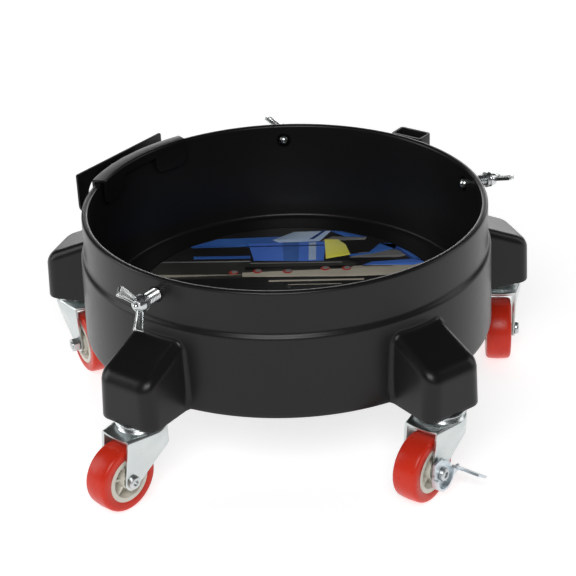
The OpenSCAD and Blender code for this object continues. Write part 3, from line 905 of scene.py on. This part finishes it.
def make_card():
    """Board with a plain picture: blue and yellow shapes over dark and cream bands."""
    edge = CARD_R - 0.3
    thick = 0.8
    base = CARD_TOP - thick
    board = [(0.5, base), (CARD_R - 0.15, base), (CARD_R, base + 0.15),
             (CARD_R, CARD_TOP - 0.35), (CARD_R - 0.15, CARD_TOP - 0.2), (0.5, CARD_TOP - 0.2)]
    card = link_mesh("card_board", *lathe_parts(board, 160, Matrix.Scale(MM, 4)),
                     print_ink("ink_black", (0.012, 0.012, 0.014), (0.02, 0.018, 0.018)))
    finish_piece(card, "card", "card_print", "display_card")
    inks = {
        "blue": print_ink("ink_blue", (0.03, 0.11, 0.42), (0.06, 0.18, 0.55)),
        "bright": print_ink("ink_bright", (0.07, 0.19, 0.72), (0.09, 0.24, 0.8)),
        "deep": print_ink("ink_deep", (0.012, 0.035, 0.17), (0.02, 0.06, 0.26)),
        "pale": print_ink("ink_pale", (0.36, 0.5, 0.78), (0.6, 0.72, 0.86)),
        "yellow": print_ink("ink_yellow", (0.95, 0.9, 0.1), (0.98, 0.95, 0.3)),
        "cream": print_ink("ink_cream", (0.62, 0.58, 0.47), (0.48, 0.44, 0.36)),
        "red": print_ink("ink_red", (0.5, 0.05, 0.03), (0.4, 0.04, 0.03)),
        "grey": print_ink("ink_grey", (0.05, 0.05, 0.045), (0.03, 0.03, 0.028)),
        "silver": print_ink("ink_silver", (0.3, 0.3, 0.29), (0.2, 0.2, 0.2)),
        "black": print_ink("ink_deck", (0.006, 0.006, 0.006), (0.01, 0.01, 0.01)),
    }
    shapes = [
        ("grey", 1, [(-130, 33), (-36, 30), (-36, 58), (-130, 66)]),
        ("cream", 2, [(-36, 32), (48, 27), (130, 27), (130, 49), (60, 45), (-36, 40)]),
        ("cream", 2, [(-130, 36), (-36, 33), (-36, 36), (-130, 42)]),
        ("silver", 2, [(-112, 62), (-30, 58), (-30, 60), (-112, 64)]),
        ("blue", 1, [(-80, 89), (-57, 102), (-4, 103), (0, 88), (-30, 86), (-78, 87)]),
        ("pale", 2, [(-12, 97), (6, 111), (37, 111), (27, 92), (-6, 91)]),
        ("deep", 3, [(18, 96), (30, 112), (33, 112), (22, 96)]),
        ("blue", 2, [(36, 111), (46, 109), (66, 97), (48, 99)]),
        ("silver", 1, [(28, 92), (38, 100), (66, 96), (64, 92)]),
        ("blue", 2, [(-76, 66), (-30, 64), (-30, 69), (-76, 71)]),
        ("silver", 1, [(50, 60), (58, 68), (88, 72), (98, 62), (90, 58)]),
        ("blue", 2, [(50, 66), (66, 68), (76, 84), (90, 84), (88, 74), (70, 66), (50, 62)]),
        ("deep", 2, [(76, 84), (100, 80), (130, 40), (100, 52), (92, 68)]),
        ("blue", 3, [(90, 76), (104, 62), (116, 44), (102, 54)]),
        ("bright", 3, [(60, 46), (68, 51), (104, 54), (112, 48), (100, 43)]),
        ("yellow", 2, [(60, 45), (84, 43), (84, 42), (60, 43.5)]),
        ("bright", 3, [(-32, 92), (32, 91), (29, 55), (-27, 60)]),
        ("blue", 4, [(-4, 92), (10, 91), (9, 57), (-3, 58)]),
        ("pale", 5, [(18, 90), (24, 90), (23, 58), (17, 58)]),
        ("deep", 5, [(-34, 87), (32, 85), (32, 83), (-34, 85)]),
        ("yellow", 6, [(31, 95), (42, 94), (48, 84), (51, 65), (31, 59)]),
        ("grey", 4, [(-36, 58), (48, 55), (56, 50), (50, 41), (-40, 39), (-42, 50)]),
        ("silver", 5, [(-30, 56), (44, 53), (44, 51.5), (-30, 54.5)]),
        ("black", 5, [(-34, 49), (46, 46), (46, 42), (-34, 43)]),
        ("cream", 2, [(-15, 24.6), (60, 22.6), (60, 20), (-15, 22)]),
        ("cream", 2, [(0, 16.6), (42, 15.4), (42, 14.4), (0, 15.6)]),
    ]
    for x, y in ((-43, 40), (-24, 41), (0, 39), (30, 42), (47, 41)):
        shapes.append(("red", 6, arc(x, y, 3.8, 0, 360, 14)[:-1]))
        shapes.append(("silver", 7, arc(x + 0.6, y + 1, 2.6, 0, 360, 12)[:-1]))
    for k, (ink, layer, points) in enumerate(shapes):
        loop = clip_to_card(points, edge)
        place = Matrix.Scale(MM, 4) @ Matrix.Translation((0, 0, CARD_TOP - 0.19 + 0.02 * layer))
        patch = plate_mesh(f"card_patch_{k}", [loop], 0.06, 0.01, place, 1)
        piece = link_data(f"card_patch_{k}", patch, inks[ink])
        finish_piece(piece, "card", "card_print")


# ---- Stage ----

def make_light(name, location, size, power):
    """A soft box aimed at the middle of the tub."""
    data = bpy.data.lights.new(name, "AREA")
    data.shape = "RECTANGLE"
    data.size, data.size_y = size
    data.energy = power
    light = bpy.data.objects.new(name, data)
    bpy.context.scene.collection.objects.link(light)
    light.location = location
    aim = -Vector(location)
    light.rotation_euler = aim.to_track_quat("-Z", "Y").to_euler()


def light_world():
    """A dim surround, a little brighter at the sides than overhead."""
    world = bpy.data.worlds.new("world")
    bpy.context.scene.world = world
    world.use_nodes = True
    nodes = world.node_tree.nodes
    links = world.node_tree.links
    coords = nodes.new("ShaderNodeTexCoord")
    split = nodes.new("ShaderNodeSeparateXYZ")
    links.new(coords.outputs["Generated"], split.inputs["Vector"])
    level = map_range(nodes, links, split.outputs["Z"], 1.25, 0.5, 0.05, 0.7)
    links.new(level, nodes["Background"].inputs["Strength"])


def make_stage():
    """A white floor lit a little from beneath, like a light table, and four soft boxes."""
    floor_z = GROUND_Z * MM
    size = 12
    verts = [(-size, -size, floor_z), (size, -size, floor_z), (size, size, floor_z),
             (-size, size, floor_z)]
    mat, nodes, links, shader = new_material("floor_white", (0.6, 0.6, 0.6), 0.9)
    shader.inputs["Specular IOR Level"].default_value = 0.05
    shader.inputs["Emission Color"].default_value = (1, 1, 1, 1)
    shader.inputs["Emission Strength"].default_value = 0.72
    cloud = add_noise(nodes, links, 2, 2)
    links.new(mix_colours(nodes, links, cloud, (0.58, 0.58, 0.58), (0.62, 0.62, 0.62)),
              shader.inputs["Base Color"])
    floor = link_mesh("floor", verts, [(0, 1, 2, 3)], mat)
    light_world()
    make_light("front", (-0.15, -1.55, 1.3), (1.2, 0.8), 22)
    make_light("left", (-1.9, 0.1, 0.75), (0.9, 1.3), 11)
    make_light("right", (1.9, 0.3, 0.75), (0.7, 1.2), 5)
    make_light("back", (0.3, 2.4, 0.5), (3.0, 0.7), 24)
    bpy.context.scene.view_settings.view_transform = "Standard"


make_tub_shell()
make_tub_ribs()
make_pocket()
make_casters()
for clamp_name in CLAMPS:
    make_clamp(clamp_name)
make_stand()
make_card()
make_stage()
